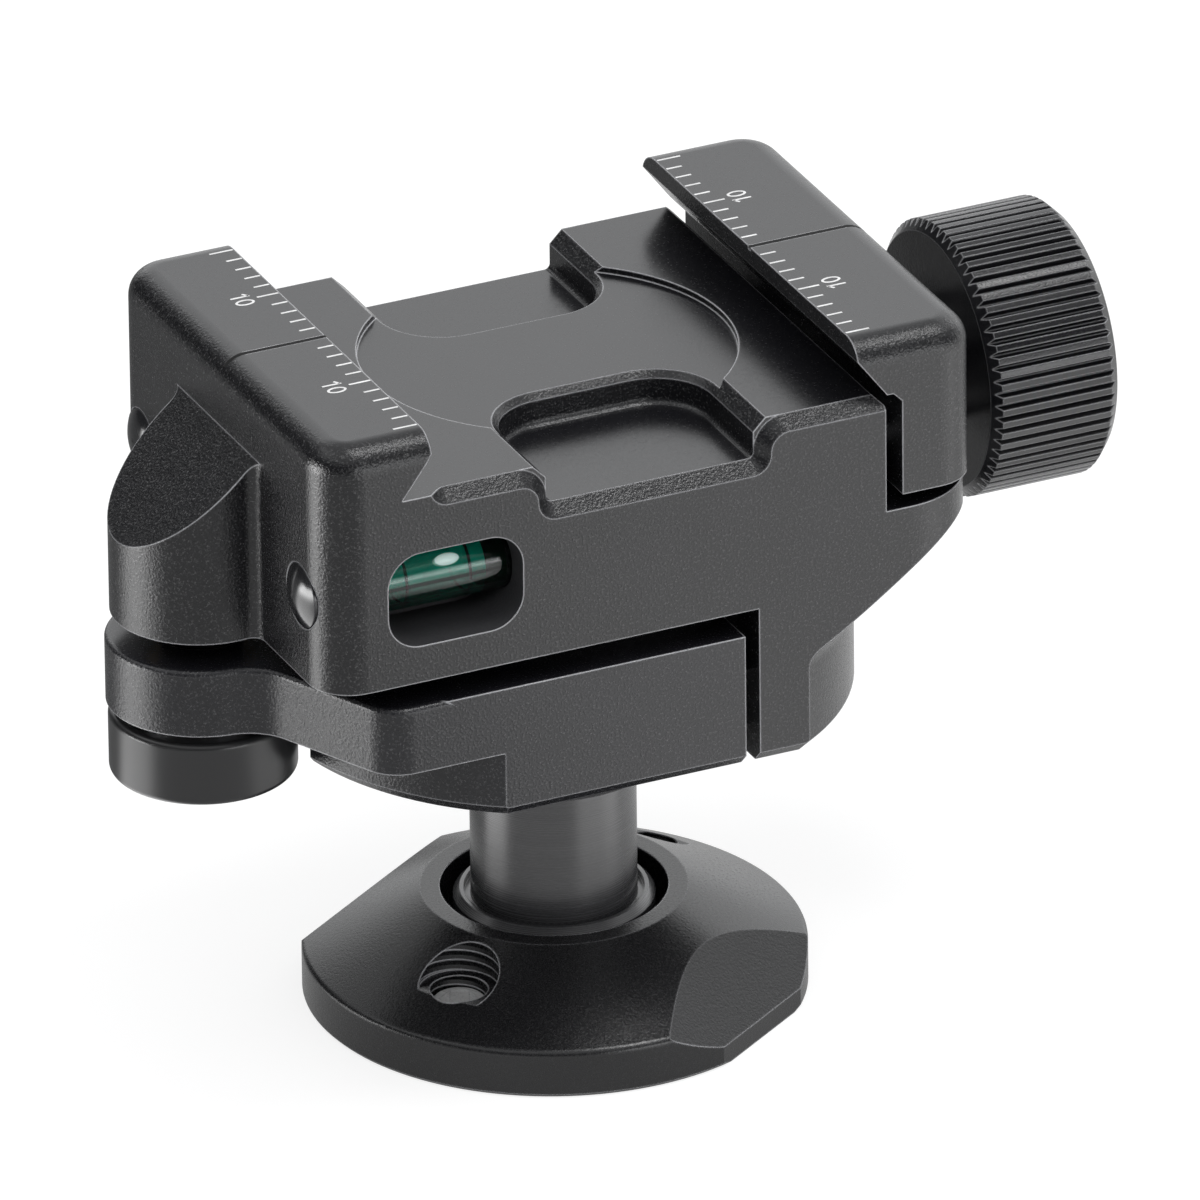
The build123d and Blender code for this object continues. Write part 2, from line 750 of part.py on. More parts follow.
for plug_name, plug_y in (("front_bore_plug", vial_y), ("rear_bore_plug", -vial_y)):
    dome_radius = (plug_radius**2 + plug_dome**2) / (2 * plug_dome)
    with BuildPart() as bore_plug:
        with BuildSketch(Plane.XY):
            with BuildLine():
                Polyline((0, plug_dome), (0, -plug_depth), (plug_radius, -plug_depth), (plug_radius, 0))
                RadiusArc((plug_radius, 0), (0, plug_dome), -dome_radius)
            make_face()
        revolve(axis=Axis.Y)
    placed = Plane(origin=(head_left, plug_y, vial_z), x_dir=(0, 1, 0), z_dir=(0, 0, 1))
    finish(placed.location * bore_plug.part, plug_name)

# ---- moving jaw
jaw_foot = tip_right + flank_run * (1 - jaw_lift / flank_drop)
with BuildPart() as moving_jaw:
    with BuildSketch(Plane.XY.offset(jaw_bottom)):
        with Locations(((tip_right + jaw_right) / 2, 0)):
            Rectangle(jaw_right - tip_right, 2 * half_depth)
    extrude(amount=head_top - jaw_bottom)
    fillet(moving_jaw.edges().filter_by(upright(jaw_right)), head_corner)
    top_edges = moving_jaw.faces().sort_by(Axis.Z)[-1].edges()
    fillet(top_edges.filter_by(lambda edge: edge.center().X > tip_right + 0.01), top_round)
    with BuildSketch(Plane.XZ):
        with BuildLine():
            Polyline(
                (tip_right - top_round, head_top - tip_land),
                (tip_right, head_top - tip_land),
                (jaw_foot, floor_top + jaw_lift),
                (jaw_leg - wall_chamfer, floor_top + jaw_lift),
                (jaw_leg, floor_top + jaw_lift - wall_chamfer),
                (jaw_leg, jaw_bottom),
                (tip_right - top_round, jaw_bottom),
                close=True,
            )
        make_face()
    extrude(amount=half_depth + top_round, both=True, mode=Mode.SUBTRACT)
    # lug that runs in the slot of the ledge and holds the screw
    with BuildSketch(Plane.YZ.offset(jaw_leg)):
        with Locations((0, (lug_bottom + jaw_bottom) / 2)):
            Rectangle(2 * lug_half, jaw_bottom - lug_bottom)
    extrude(amount=jaw_right - jaw_leg)
    with BuildSketch(Plane.YZ.offset(jaw_leg)):
        with Locations((0, screw_z)):
            Circle(screw_radius + screw_gap)
    extrude(amount=jaw_right - jaw_leg, mode=Mode.SUBTRACT)
    with BuildSketch(Plane.YZ.offset(jaw_leg)):
        with Locations((0, screw_z)):
            Circle(circlip_radius + circlip_room)
    extrude(amount=circlip_thick + circlip_room, mode=Mode.SUBTRACT)
    with BuildSketch(Plane.YZ.offset(jaw_leg)):
        with Locations((guide_y, guide_z), (-guide_y, guide_z)):
            Circle(guide_radius + press_gap)
    extrude(amount=guide_seat + press_gap, mode=Mode.SUBTRACT)
    with BuildSketch(Plane.YZ.offset(tip_right)):
        with Locations((0, head_top)):
            Rectangle(centre_groove, 2 * centre_groove_depth)
    extrude(amount=jaw_right - top_round - tip_right, mode=Mode.SUBTRACT)
finish(moving_jaw.part, "moving_jaw")

with BuildPart() as guide_pins:
    with BuildSketch(Plane.YZ.offset(guide_tip)):
        with Locations((guide_y, guide_z), (-guide_y, guide_z)):
            Circle(guide_radius)
    extrude(amount=jaw_leg + guide_seat - guide_tip)
    chamfer(guide_pins.edges().group_by(Axis.X)[0], guide_edge)
finish(guide_pins.part, "guide_pins")

spring_start = spring_pocket_end + spring_wire + running_gap
spring_length = jaw_leg - spring_wire - running_gap - spring_start
front_coil = coil((spring_start, -guide_y, guide_z), spring_length, spring_mean, spring_wire, spring_turns)
rear_coil = coil((spring_start, guide_y, guide_z), spring_length, spring_mean, spring_wire, spring_turns)
finish(Compound(children=[front_coil, rear_coil]), "jaw_springs")

# ---- clamp screw, knob, washer, circlip and threaded bush
with BuildPart() as clamp_screw:
    head_start = knob_right - knob_dish - screw_head_length
    with BuildSketch(Plane.YZ.offset(screw_tip)):
        with Locations((0, screw_z)):
            Circle(screw_radius)
    extrude(amount=head_start - screw_tip)
    chamfer(clamp_screw.edges().group_by(Axis.X)[0], screw_edge)
    with BuildSketch(Plane.YZ.offset(head_start)):
        with Locations((0, screw_z)):
            Circle(screw_head_radius)
    extrude(amount=screw_head_length)
    chamfer(clamp_screw.edges().group_by(Axis.X)[-1], screw_edge)
    with BuildSketch(Plane.YZ.offset(head_start + screw_head_length)):
        with Locations((0, screw_z)):
            RegularPolygon(screw_hex / 2, 6, major_radius=False)
    extrude(amount=-screw_socket, mode=Mode.SUBTRACT)
finish(clamp_screw.part, "clamp_screw")

hub_left = jaw_right + knob_washer_thick + 2 * running_gap
with BuildPart() as clamp_knob:
    with BuildSketch(Plane.XZ):
        with BuildLine():
            Polyline(
                (hub_left, screw_radius + hub_bore_gap),
                (hub_left, hub_radius),
                (knob_left, hub_radius),
                (knob_left, knob_left_edge),
                (knob_left + knob_face, knob_radius),
                (knob_right - knob_edge, knob_radius),
                (knob_right, knob_radius - knob_edge),
                (knob_right, knob_dish_radius),
                (knob_right - knob_dish, knob_dish_radius - knob_dish),
                (knob_right - knob_dish, screw_head_radius + hub_bore_gap),
                (head_start - press_gap, screw_head_radius + hub_bore_gap),
                (head_start - press_gap, screw_radius + hub_bore_gap),
                close=True,
            )
        make_face()
    revolve(axis=Axis.X)
    with BuildSketch(Plane.YZ.offset(knob_left)):
        with PolarLocations(knob_radius, knurl_count):
            with BuildLine():
                Polyline((-knurl_depth, 0), (knurl_reach, knurl_half), (knurl_reach, -knurl_half), close=True)
            make_face()
    extrude(amount=knob_right - knob_left, mode=Mode.SUBTRACT)
knob_axis = Plane(origin=(0, 0, screw_z), x_dir=(1, 0, 0), z_dir=(0, 0, 1))
finish(knob_axis.location * clamp_knob.part, "clamp_knob")

with BuildPart() as knob_washer:
    with BuildSketch(Plane.YZ.offset(jaw_right + running_gap)):
        with Locations((0, screw_z)):
            Circle(hub_radius)
            Circle(screw_radius + running_gap, mode=Mode.SUBTRACT)
    extrude(amount=knob_washer_thick)
finish(knob_washer.part, "knob_washer")

with BuildPart() as screw_circlip:
    with BuildSketch(Plane.YZ.offset(jaw_leg + circlip_room / 2)):
        with Locations((0, screw_z)):
            Circle(circlip_radius)
            Circle(screw_radius + press_gap, mode=Mode.SUBTRACT)
        with Locations((0, screw_z + circlip_radius)):
            Rectangle(screw_radius, 2 * circlip_radius, mode=Mode.SUBTRACT)
    extrude(amount=circlip_thick)
finish(screw_circlip.part, "screw_circlip")

with BuildPart() as clamp_bush:
    with BuildSketch(Plane.YZ.offset(clamp_bush_start + press_gap)):
        with Locations((0, screw_z)):
            Circle(clamp_bush_radius)
            Circle(screw_radius + running_gap, mode=Mode.SUBTRACT)
    extrude(amount=clamp_bush_end - clamp_bush_start - press_gap)
finish(clamp_bush.part, "clamp_bush")
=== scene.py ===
import bmesh
import bpy
from math import atan2, cos, pi, radians, sin
from mathutils import Matrix, Vector


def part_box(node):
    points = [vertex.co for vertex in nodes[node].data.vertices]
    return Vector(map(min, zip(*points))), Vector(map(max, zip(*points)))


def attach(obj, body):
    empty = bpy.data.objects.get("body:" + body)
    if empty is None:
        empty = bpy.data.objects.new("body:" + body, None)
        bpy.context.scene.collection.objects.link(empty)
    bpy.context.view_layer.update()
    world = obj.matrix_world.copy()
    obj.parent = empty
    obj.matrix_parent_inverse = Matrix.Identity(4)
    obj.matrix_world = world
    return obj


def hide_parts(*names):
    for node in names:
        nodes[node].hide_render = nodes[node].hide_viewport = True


# Looks of a compact tripod ball head. Lengths in the dictionaries are millimetres, turned
# into metres with mm, but the studio's are metres. +Z is up, +X runs to the clamp knob and
# +Y to the back.
mm = 0.001
scene = bpy.context.scene
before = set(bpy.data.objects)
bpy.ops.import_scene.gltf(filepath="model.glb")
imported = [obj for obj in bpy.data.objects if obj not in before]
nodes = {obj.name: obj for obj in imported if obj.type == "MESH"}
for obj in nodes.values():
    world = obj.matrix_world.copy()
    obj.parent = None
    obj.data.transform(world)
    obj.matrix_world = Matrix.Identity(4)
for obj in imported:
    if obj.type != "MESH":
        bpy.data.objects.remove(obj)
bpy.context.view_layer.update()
print("frame loaded:", len(nodes), "nodes")

# camera
view = {
    "turn": -24.6466,  # degrees round the head, from straight in front
    "height": 26.4761,  # degrees over the floor
    "roll": -0.6576,
    "place": (-690.47, -1513.49, 859.58),
    "lens": 768.76,
    "sensor": 36,
}


def makeCamera():
    turn, height, roll = (radians(view[key]) for key in ("turn", "height", "roll"))
    back = Vector((sin(turn) * cos(height), -cos(turn) * cos(height), sin(height)))
    right = Vector((cos(turn), sin(turn), 0))
    up = back.cross(right)
    rolledRight = right * cos(roll) + up * sin(roll)
    rolledUp = up * cos(roll) - right * sin(roll)
    data = bpy.data.cameras.new("camera")
    data.sensor_fit = "HORIZONTAL"
    data.sensor_width = view["sensor"]
    data.lens = view["lens"]
    camera = bpy.data.objects.new("camera", data)
    scene.collection.objects.link(camera)
    aim = Matrix((rolledRight, rolledUp, back)).transposed().to_4x4()
    camera.matrix_world = Matrix.Translation(Vector(view["place"]) * mm) @ aim
    scene.camera = camera


makeCamera()
scene.view_settings.view_transform = "Standard"
print("camera placed")


# shader helpers
def addNode(tree, kind, inputs=None, **settings):
    made = tree.nodes.new("ShaderNode" + kind)
    for key, value in settings.items():
        setattr(made, key, value)
    for key, value in (inputs or {}).items():
        socket = made.inputs[key]
        if isinstance(value, bpy.types.NodeSocket):
            tree.links.new(value, socket)
        else:
            socket.default_value = value
    return made


def calc(tree, operation, *values, clamp=False):
    return addNode(tree, "Math", dict(enumerate(values)), operation=operation, use_clamp=clamp).outputs[0]


def ramp(tree, value, start, end, low=0.0, high=1.0, smooth=True):
    kind = "SMOOTHSTEP" if smooth else "LINEAR"
    inputs = {"Value": value, "From Min": start, "From Max": end, "To Min": low, "To Max": high}
    return addNode(tree, "MapRange", inputs, interpolation_type=kind).outputs["Result"]


def blend(tree, amount, first, second):
    made = addNode(tree, "Mix", data_type="RGBA")
    for socket, value in zip((made.inputs[0], made.inputs[6], made.inputs[7]), (amount, first, second)):
        if isinstance(value, bpy.types.NodeSocket):
            tree.links.new(value, socket)
        else:
            socket.default_value = value
    return made.outputs[2]


def colour(red, green, blue):
    return (red, green, blue, 1.0)


# the three parts of a texture coordinate
def coordinates(tree, kind="Object"):
    return addNode(tree, "SeparateXYZ", {0: addNode(tree, "TexCoord").outputs[kind]}).outputs


# how far the level point (x, y) lies from the middle
def distance(tree, x, y):
    squares = [calc(tree, "MULTIPLY", value, value) for value in (x, y)]
    return calc(tree, "SQRT", calc(tree, "ADD", *squares))


# 1 where the level direction (x, y) lies within half of turn (degrees), falling to 0 over soft
def towards(tree, x, y, turn, half, soft=12):
    shares = (calc(tree, "MULTIPLY", x, cos(radians(turn))), calc(tree, "MULTIPLY", y, sin(radians(turn))))
    cosine = calc(tree, "DIVIDE", calc(tree, "ADD", *shares), distance(tree, x, y))
    return ramp(tree, cosine, cos(radians(half + soft)), cos(radians(half)))


# 1 where a length lies between two others
def between(tree, length, low, high):
    above = calc(tree, "GREATER_THAN", length, low * mm)
    return calc(tree, "MULTIPLY", above, calc(tree, "LESS_THAN", length, high * mm))


def tinted(tree, tint, tone):
    return addNode(tree, "VectorMath", {0: tint[:3], "Scale": tone}, operation="SCALE").outputs[0]


def addBump(tree, height, depth, normal=None):
    inputs = {"Strength": 1.0, "Distance": depth * mm, "Height": height}
    if normal is not None:
        inputs["Normal"] = normal
    return addNode(tree, "Bump", inputs).outputs[0]


def newGroup(name, ins, outs):
    tree = bpy.data.node_groups.new(name, "ShaderNodeTree")
    for socketName, kind in ins.items():
        tree.interface.new_socket(socketName, in_out="INPUT", socket_type="NodeSocket" + kind)
    for socketName, kind in outs.items():
        tree.interface.new_socket(socketName, in_out="OUTPUT", socket_type="NodeSocket" + kind)
    start = tree.nodes.new("NodeGroupInput")
    end = tree.nodes.new("NodeGroupOutput")
    return tree, start.outputs, end.inputs


# fine pits left by bead blasting: Height for a bump, Sparkle and Tone for colour
pits = {
    "detail": 2.0,
    "roughness": 0.65,
    "sparkle": (0.5, 0.72),  # heights where it starts and is full
    "patchScale": 0.04,  # of the patches of tone, against the pits
    "patchDetail": 3.0,
    "tone": (0.85, 1.15),
}
noiseRange = (0.3, 0.7)  # where nearly all values of a noise lie


def makeBlastGrain():
    tree, start, end = newGroup(
        "blastGrain",
        {"Size": "Float"},
        {"Height": "Float", "Sparkle": "Float", "Tone": "Float"},
    )
    place = addNode(tree, "TexCoord").outputs["Object"]
    scale = calc(tree, "DIVIDE", 1.0, start["Size"])
    inputs = {"Vector": place, "Scale": scale, "Detail": pits["detail"], "Roughness": pits["roughness"]}
    fine = addNode(tree, "TexNoise", inputs).outputs[0]
    wide = calc(tree, "MULTIPLY", scale, pits["patchScale"])
    patches = addNode(tree, "TexNoise", {"Vector": place, "Scale": wide, "Detail": pits["patchDetail"]})
    tone = ramp(tree, patches.outputs[0], *noiseRange, *pits["tone"], smooth=False)
    tree.links.new(fine, end["Height"])
    tree.links.new(ramp(tree, fine, *pits["sparkle"]), end["Sparkle"])
    tree.links.new(tone, end["Tone"])
    return tree


# edges lightened partly by wear and partly as a painted highlight, and a normal that rounds them
def makeEdgeWearGlint():
    tree, start, end = newGroup(
        "edgeWearGlint",
        {"Radius": "Float", "Reach": "Float"},
        {"Mask": "Float", "Normal": "Vector"},
    )
    rounded = addNode(tree, "Bevel", {"Radius": start["Radius"]}, samples=6).outputs[0]
    facing = addNode(tree, "NewGeometry").outputs["Normal"]
    dot = addNode(tree, "VectorMath", {0: rounded, 1: facing}, operation="DOT_PRODUCT")
    away = calc(tree, "SUBTRACT", 1.0, dot.outputs["Value"])
    tree.links.new(ramp(tree, away, 0.0, start["Reach"], smooth=False), end["Mask"])
    tree.links.new(rounded, end["Normal"])
    return tree


# rings left by the lathe, about the Z axis of the vector
lathe = {
    "detail": 2.0,
    "roughness": 0.7,
    "bandScale": 0.12,  # of the bands of tone, against the rings
    "tone": (0.88, 1.12),
}


def makeTurnedLines():
    tree, start, end = newGroup(
        "turnedLines",
        {"Vector": "Vector", "Spacing": "Float"},
        {"Height": "Float", "Tone": "Float"},
    )
    parts = addNode(tree, "SeparateXYZ", {0: start["Vector"]}).outputs
    across = distance(tree, parts[0], parts[1])
    profile = addNode(tree, "CombineXYZ", {0: across, 1: parts[2], 2: 0.0}).outputs[0]
    rings = calc(tree, "DIVIDE", 1.0, start["Spacing"])
    inputs = {"Vector": profile, "Scale": rings, "Detail": lathe["detail"], "Roughness": lathe["roughness"]}
    lines = addNode(tree, "TexNoise", inputs)
    wide = calc(tree, "MULTIPLY", rings, lathe["bandScale"])
    bands = addNode(tree, "TexNoise", {"Vector": profile, "Scale": wide, "Detail": lathe["detail"]})
    tone = ramp(tree, bands.outputs[0], *noiseRange, *lathe["tone"], smooth=False)
    tree.links.new(lines.outputs[0], end["Height"])
    tree.links.new(tone, end["Tone"])
    return tree


# a screw thread's turns, about the Z axis of the vector
def makeThreadTurns():
    tree, start, end = newGroup(
        "threadTurns",
        {"Vector": "Vector", "Pitch": "Float"},
        {"Height": "Float", "Across": "Float"},
    )
    parts = addNode(tree, "SeparateXYZ", {0: start["Vector"]}).outputs
    around = calc(tree, "DIVIDE", calc(tree, "ARCTAN2", parts[1], parts[0]), 2 * pi)
    along = calc(tree, "SUBTRACT", calc(tree, "DIVIDE", parts[2], start["Pitch"]), around)
    tree.links.new(calc(tree, "PINGPONG", along, 0.5), end["Height"])
    tree.links.new(distance(tree, parts[0], parts[1]), end["Across"])
    return tree


blastGrain = makeBlastGrain()
edgeWearGlint = makeEdgeWearGlint()
turnedLines = makeTurnedLines()
threadTurns = makeThreadTurns()
print("node groups built")


# materials
def newMaterial(name):
    material = bpy.data.materials.new(name)
    material.use_nodes = True
    material.node_tree.nodes.clear()
    return material, material.node_tree


def endMaterial(tree, shader):
    addNode(tree, "OutputMaterial", {"Surface": shader})


def endPrincipled(tree, inputs):
    endMaterial(tree, addNode(tree, "BsdfPrincipled", inputs).outputs[0])


def placed(tree, centre=(0, 0, 0), turn=(0, 0, 0)):
    moved = [-value * mm for value in centre]
    place = addNode(tree, "TexCoord").outputs["Object"]
    spot = addNode(tree, "VectorMath", {0: place, 1: moved}, operation="ADD").outputs[0]
    angles = [radians(angle) for angle in turn]
    return addNode(tree, "Mapping", {"Vector": spot, "Rotation": angles}).outputs[0]


def insideBox(tree, low, high):
    place = coordinates(tree)
    inside = 1.0
    for axis in range(3):
        inside = calc(tree, "MULTIPLY", inside, between(tree, place[axis], low[axis], high[axis]))
    return inside


blasted = {
    "colour": colour(0.006, 0.006, 0.0075),
    "roughness": 0.23,
    "roughnessSpread": 0.05,
    "grain": 0.2,
    "depth": 0.05,  # height of the pits
    "milled": (0.9, 0.99),  # upward part of the normal where milling starts and is full
    "topDepth": 0.08,  # part of the pits that is left on the milled upper faces
    "sparkle": 0.045,
    "edge": 0.2,
    "edgeReach": 0.2,  # how far the edge's normal has to lean for full wear and painted highlight
    "edgeWearGlintColour": colour(0.7, 0.7, 0.73),
    "edgeWearGlintAmount": 1.0,
    "hollow": None,  # box of a recess painted in its shade: a matt colour of its own and added roughness
    "hollowShadeColour": colour(0.03, 0.03, 0.033),
    "hollowRoughness": 0.5,  # added to the roughness
    "threads": (),  # middles of holes that have a thread's turns on their walls
    "threadPitch": 0.8,
    "threadRadius": (2.0, 3.0),
    "threadHeight": 0.5,
    "threadSlope": 0.3,  # upward part of the normal that a wall stays under
    "threadCrestHighlight": (0.36, 0.48, 0.0, 0.6),  # heights where a painted highlight brightens the crests, and how much
    "ior": 1.6,
}


def blastedMetal(name, **changes):
    use = {**blasted, **changes}
    material, tree = newMaterial(name)
    grain = addNode(tree, "Group", {"Size": use["grain"] * mm}, node_tree=blastGrain).outputs
    inputs = {"Radius": use["edge"] * mm, "Reach": use["edgeReach"]}
    wearGlint = addNode(tree, "Group", inputs, node_tree=edgeWearGlint).outputs
    upward = coordinates(tree, "Normal")[2]
    rest = ramp(tree, ramp(tree, upward, *use["milled"]), 0.0, 1.0, 1.0, use["topDepth"], smooth=False)
    height = calc(tree, "MULTIPLY", grain["Height"], rest)
    shine = calc(tree, "MULTIPLY", calc(tree, "MULTIPLY", grain["Sparkle"], rest), use["sparkle"])
    speck = addNode(tree, "CombineXYZ", {0: shine, 1: shine, 2: shine}).outputs[0]
    tone = tinted(tree, use["colour"], grain["Tone"])
    skin = addNode(tree, "VectorMath", {0: tone, 1: speck}, operation="ADD").outputs[0]
    amount = calc(tree, "MULTIPLY", grain["Tone"], use["edgeWearGlintAmount"])
    # edges lightened: partly wear, partly a painted highlight
    skin = blend(tree, calc(tree, "MULTIPLY", wearGlint["Mask"], amount), skin, use["edgeWearGlintColour"])
    smoothest, roughest = (use["roughness"] + sign * use["roughnessSpread"] for sign in (-1, 1))
    rough = ramp(tree, grain["Height"], *noiseRange, smoothest, roughest, smooth=False)
    for centre in use["threads"]:
        inputs = {"Vector": placed(tree, centre), "Pitch": use["threadPitch"] * mm}
        thread = addNode(tree, "Group", inputs, node_tree=threadTurns).outputs
        wall = between(tree, thread["Across"], *use["threadRadius"])
        wall = calc(tree, "MULTIPLY", wall, calc(tree, "LESS_THAN", upward, use["threadSlope"]))
        turns = calc(tree, "MULTIPLY", thread["Height"], wall)
        raised = calc(tree, "MULTIPLY", turns, use["threadHeight"] / use["depth"])
        height = calc(tree, "ADD", height, raised)
        # painted highlight on the crests of the thread's turns
        skin = blend(tree, ramp(tree, turns, *use["threadCrestHighlight"]), skin, use["edgeWearGlintColour"])
    # painted shade: inside the box the colour and roughness are changed to show the recess's shade
    if use["hollow"]:
        inside = insideBox(tree, *use["hollow"])
        rough = calc(tree, "ADD", rough, calc(tree, "MULTIPLY", inside, use["hollowRoughness"]))
        skin = blend(tree, inside, skin, use["hollowShadeColour"])
    normal = addBump(tree, height, use["depth"], wearGlint["Normal"])
    endPrincipled(tree, {"Base Color": skin, "Roughness": rough, "Normal": normal, "IOR": use["ior"]})
    return material


turned = {
    "colour": colour(0.018, 0.018, 0.020),
    "roughness": 0.3,
    "roughnessSpread": 0.04,
    "metallic": 0.0,
    "spacing": 0.08,
    "depth": 0.0015,
    "edge": 0.1,
    "edgeReach": 0.3,
    "edgeWearGlintColour": colour(0.30, 0.30, 0.32),
    "edgeWearGlintAmount": 0.5,
    "ior": 1.6,
    "centre": (0, 0, 0),
    "turn": (0, 0, 0),
}


def turnedMetal(name, **changes):
    use = {**turned, **changes}
    material, tree = newMaterial(name)
    inputs = {"Vector": placed(tree, use["centre"], use["turn"]), "Spacing": use["spacing"] * mm}
    lines = addNode(tree, "Group", inputs, node_tree=turnedLines).outputs
    inputs = {"Radius": use["edge"] * mm, "Reach": use["edgeReach"]}
    wearGlint = addNode(tree, "Group", inputs, node_tree=edgeWearGlint).outputs
    wornGlint = calc(tree, "MULTIPLY", wearGlint["Mask"], use["edgeWearGlintAmount"])
    # edges lightened: partly wear, partly a painted highlight
    skin = blend(tree, wornGlint, tinted(tree, use["colour"], lines["Tone"]), use["edgeWearGlintColour"])
    smoothest, roughest = (use["roughness"] + sign * use["roughnessSpread"] for sign in (-1, 1))
    rough = ramp(tree, lines["Height"], *noiseRange, smoothest, roughest, smooth=False)
    normal = addBump(tree, lines["Height"], use["depth"], wearGlint["Normal"])
    inputs = {"Base Color": skin, "Roughness": rough, "Normal": normal}
    endPrincipled(tree, {**inputs, "IOR": use["ior"], "Metallic": use["metallic"]})
    return material


# threaded pieces: plain metal, with the thread's turns where the radius is right, each turn darkened as
# painted shade
threaded = {
    "shadeHeights": (0.0, 0.3),  # heights between which a turn darkens as painted shade
    "tone": (1.0, 0.55),
}


def threadedMetal(name, pitch, radii, **changes):
    use = {**turned, **changes}
    material, tree = newMaterial(name)
    inputs = {"Vector": placed(tree, use["centre"], use["turn"]), "Pitch": pitch * mm}
    thread = addNode(tree, "Group", inputs, node_tree=threadTurns).outputs
    height = calc(tree, "MULTIPLY", thread["Height"], between(tree, thread["Across"], *radii))
    # painted shade: the thread's turns darken the colour
    tone = ramp(tree, height, *threaded["shadeHeights"], *threaded["tone"])
    inputs = {"Base Color": tinted(tree, use["colour"], tone), "Roughness": use["roughness"]}
    inputs["Normal"] = addBump(tree, height, pitch)
    endPrincipled(tree, {**inputs, "IOR": use["ior"], "Metallic": use["metallic"]})
    return material


plastic = {"grain": 0.4, "depth": 0.004}


def plainPlastic(name, tint, roughness, **changes):
    use = {**plastic, **changes}
    material, tree = newMaterial(name)
    grain = addNode(tree, "Group", {"Size": use["grain"] * mm}, node_tree=blastGrain).outputs
    normal = addBump(tree, grain["Height"], use["depth"])
    skin = tinted(tree, tint, grain["Tone"])
    endPrincipled(tree, {"Base Color": skin, "Roughness": roughness, "Normal": normal})
    return material


def coat(material, *names):
    for name in names:
        slots = nodes[name].data.materials
        slots.clear()
        slots.append(material)


windowBox = ((-21.4, -18.25, 39.0), (-10.2, -10.0, 47.8))
setScrews = {"circle": 13.3, "turn": radians(33.75)}
screwSpot = [setScrews["circle"] * cos(setScrews["turn"]), setScrews["circle"] * sin(setScrews["turn"]), 0]
baseLook = {
    "colour": colour(0.009, 0.009, 0.01),
    "depth": 0.016,
    "sparkle": 0.006,
    "topDepth": 1.0,
    "roughness": 0.26,
    "threads": (screwSpot, [-value for value in screwSpot]),
}
coat(blastedMetal("headBlack", hollow=windowBox), "head_body")
coat(blastedMetal("jawBlack", colour=colour(0.008, 0.008, 0.0095)), "moving_jaw")
coat(blastedMetal("armBlack", colour=colour(0.01, 0.01, 0.0125), roughness=0.24), "clamp_arm")
coat(blastedMetal("baseBlack", **baseLook), "base_plate")

alongX = (0, -90, 0)  # turns a pattern about Z to one about X
lockAxis = {"centre": (-27.7, 0, 0)}
clampAxis = {"centre": (0, 0, 43.9), "turn": alongX}
steel = {"colour": colour(0.55, 0.55, 0.57), "metallic": 1.0}
brass = {"colour": colour(0.62, 0.45, 0.2), "metallic": 1.0, "roughness": 0.3}
springMetal = {"colour": colour(0.4, 0.4, 0.42), "metallic": 1.0}
lockBlack = {"colour": colour(0.02, 0.02, 0.021), "roughness": 0.3}
socketSteel = {"colour": colour(0.8, 0.8, 0.8), "metallic": 0.4, "roughness": 0.3, "edge": 0.2}
coat(turnedMetal("stemBlack", colour=colour(0.055, 0.055, 0.058), roughness=0.27, ior=1.9), "ball_stem")
for name, piece, plugY in (("plugBlack", "front_bore_plug", -14), ("rearPlugBlack", "rear_bore_plug", 14)):
    coat(turnedMetal(name, roughness=0.16, turn=alongX, centre=(0, plugY, 43.4)), piece)
coat(turnedMetal("setScrewSteel", **socketSteel), "base_set_screws")
coat(threadedMetal("lockScrewBlack", 1.0, (2.9, 3.1), **lockBlack, **lockAxis), "lock_screw")
coat(threadedMetal("bushSteel", 1.5875, (3.9, 4.1), roughness=0.25, **steel), "tripod_bush")
coat(threadedMetal("clampScrewSteel", 0.8, (2.4, 2.6), roughness=0.28, **steel, **clampAxis), "clamp_screw")
coat(turnedMetal("pinSteel", roughness=0.22, **steel), "hinge_pins", "lock_washer", "guide_pins")
coat(turnedMetal("springSteel", roughness=0.25, **springMetal), "snap_ring", "jaw_springs", "screw_circlip")
coat(threadedMetal("bushBrass", 1.0, (2.9, 3.4), **brass, **lockAxis), "lock_bush")
coat(threadedMetal("clampBushBrass", 0.8, (2.4, 2.7), **brass, **clampAxis), "clamp_bush")
coat(plainPlastic("seatPlastic", colour(0.72, 0.71, 0.67), 0.45), "ball_seat")
coat(plainPlastic("washerPlastic", colour(0.03, 0.03, 0.03), 0.5), "knob_washer")
print("metal and plastic finishes made")


# pieces made here
def newPiece(name, bm, material, body):
    mesh = bpy.data.meshes.new(name)
    bm.to_mesh(mesh)
    bm.free()
    for face in mesh.polygons:
        face.use_smooth = True
    mesh.set_sharp_from_angle(angle=radians(32))
    mesh.materials.append(material)
    piece = bpy.data.objects.new(name, mesh)
    scene.collection.objects.link(piece)
    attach(piece, body)
    return piece


